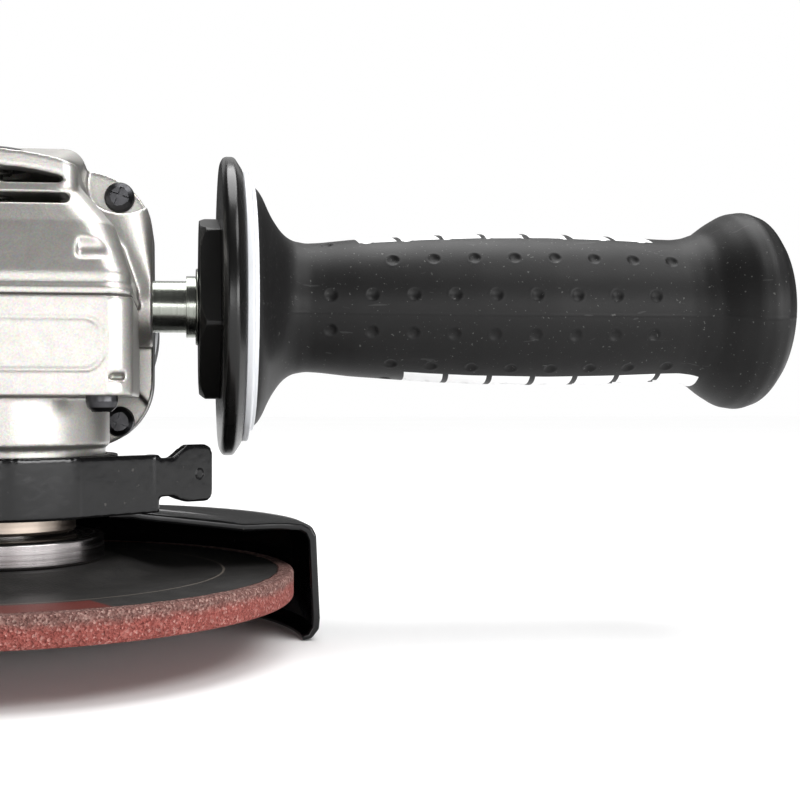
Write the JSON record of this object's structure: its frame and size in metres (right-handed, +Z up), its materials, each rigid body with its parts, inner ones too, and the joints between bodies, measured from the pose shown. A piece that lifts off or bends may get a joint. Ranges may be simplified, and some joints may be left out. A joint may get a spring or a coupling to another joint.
{
  "type": "angle grinder",
  "caption": "Corded angle grinder with a grinding wheel under an open rear guard, a clamp lever on the guard collar and a screw-in side handle.",
  "frame": {"origin": "free lower end of the spindle, on the spindle axis", "axes": "+X along the side handle, +Y to the rear along the motor, +Z up the spindle, away from the wheel"},
  "size_m": [0.2506, 0.3335, 0.1107],
  "materials": {
    "silver_paint": "satin silver stove enamel",
    "black_paint": "gloss black powder coat",
    "black_screw": "black phosphated steel",
    "steel": "ground",
    "dark_steel": "dark polished",
    "zinc_steel": "zinc plated",
    "beige_metal": "satin",
    "abrasive": "resin-bonded grit",
    "gloss_black_plastic": "gloss",
    "white_plastic": "satin",
    "rubber": "matte",
    "grey_plastic": "fine grain",
    "black_plastic": "matte",
    "nylon": "satin",
    "copper": "enamelled wire",
    "laminations": "stacked sheet",
    "carbon": "matte",
    "film": "gloss",
    "gasket": "matte",
    "plate": "brushed"
  },
  "bodies": {
    "housing": {"gear_housing": "silver_paint", "bearing_box": "silver_paint", "housing_gasket": "gasket", "bearing_box_screws": "black_screw", "gear_housing_screws": "black_screw", "lock_spring": "steel", "spindle_bearing_outer": "steel", "spindle_bearing_balls": "steel", "bearing_retainer": "dark_steel", "needle_bearing": "steel", "front_bearing": "steel", "rear_bearing": "steel", "bearing_boot": "rubber", "stator_core": "laminations", "field_coils": "copper", "stator_screws": "steel", "baffle_plate": "black_plastic", "motor_housing": "grey_plastic", "brush_holders": "black_plastic", "carbon_brushes": "carbon", "brush_springs": "steel", "rear_cover": "grey_plastic", "rear_cover_screws": "black_screw", "switch_unit": "black_plastic", "capacitor": "film", "lead_wires": "copper", "cord_gland": "rubber", "cord_clamp": "black_plastic", "rating_plate": "plate"},
    "spindle": {"spindle": "steel", "ring_gear": "dark_steel", "spindle_bearing_inner": "steel", "dust_ring": "beige_metal", "inner_flange": "dark_steel", "grinding_wheel": "abrasive", "lock_nut": "dark_steel"},
    "armature": {"armature_shaft": "steel", "armature_core": "laminations", "armature_windings": "copper", "commutator": "copper", "cooling_fan": "nylon", "drive_pinion": "dark_steel", "pinion_nut": "steel"},
    "lock": {"lock_button": "black_plastic", "lock_pin": "steel"},
    "guard": {"guard_shell": "black_paint", "clamp_band": "black_paint", "lever_pin": "steel", "clamp_screw": "steel"},
    "lever": {"clamp_lever": "black_paint"},
    "handle_carrier": {"handle_washer": "zinc_steel"},
    "side_handle": {"handle_shank": "zinc_steel", "handle_hub": "gloss_black_plastic", "handle_flange": "gloss_black_plastic", "damper_ring": "white_plastic", "handle_grip": "rubber", "handle_core": "black_plastic"},
    "switch": {"switch_knob": "black_plastic", "switch_rod": "steel"}
  },
  "joints": [
    {"name": "spindle_spin", "type": "hinge", "parent": "housing", "child": "spindle", "pos_m": [0, 0, 0.03], "axis": [0, 0, 1], "continuous": true},
    {"name": "armature_spin", "type": "hinge", "parent": "housing", "child": "armature", "pos_m": [0, 0.08, 0.068], "axis": [0, 1, 0], "continuous": true},
    {"name": "lock_press", "type": "slide", "parent": "housing", "child": "lock", "axis": [0, 0, -1], "range_m": [0, 0.0035], "stiffness_N_per_m": 700, "deforming": ["lock_spring"]},
    {"name": "guard_turn", "type": "hinge", "parent": "housing", "child": "guard", "pos_m": [0, 0, 0.0285], "axis": [0, 0, 1], "range_deg": [-120, 20]},
    {"name": "lever_open", "type": "hinge", "parent": "guard", "child": "lever", "pos_m": [-0.00497, -0.02817, 0.0285], "axis": [0, 0, -1], "range_deg": [0, 70]},
    {"name": "handle_advance", "type": "slide", "parent": "housing", "child": "handle_carrier", "axis": [1, 0, 0], "range_m": [0, 0.0083]},
    {"name": "handle_turn", "type": "hinge", "parent": "handle_carrier", "child": "side_handle", "pos_m": [0.06, 0.02, 0.068], "axis": [1, 0, 0], "range_deg": [0, 1980]},
    {"name": "switch_slide", "type": "slide", "parent": "housing", "child": "switch", "axis": [0, -1, 0], "range_m": [0, 0.006], "stiffness_N_per_m": 300}
  ],
  "couplings": [
    {"joint": "armature_spin", "follows": "spindle_spin", "ratio": 2.9167},
    {"joint": "handle_advance", "follows": "handle_turn", "m_per_rad": 0.00023873}
  ]
}
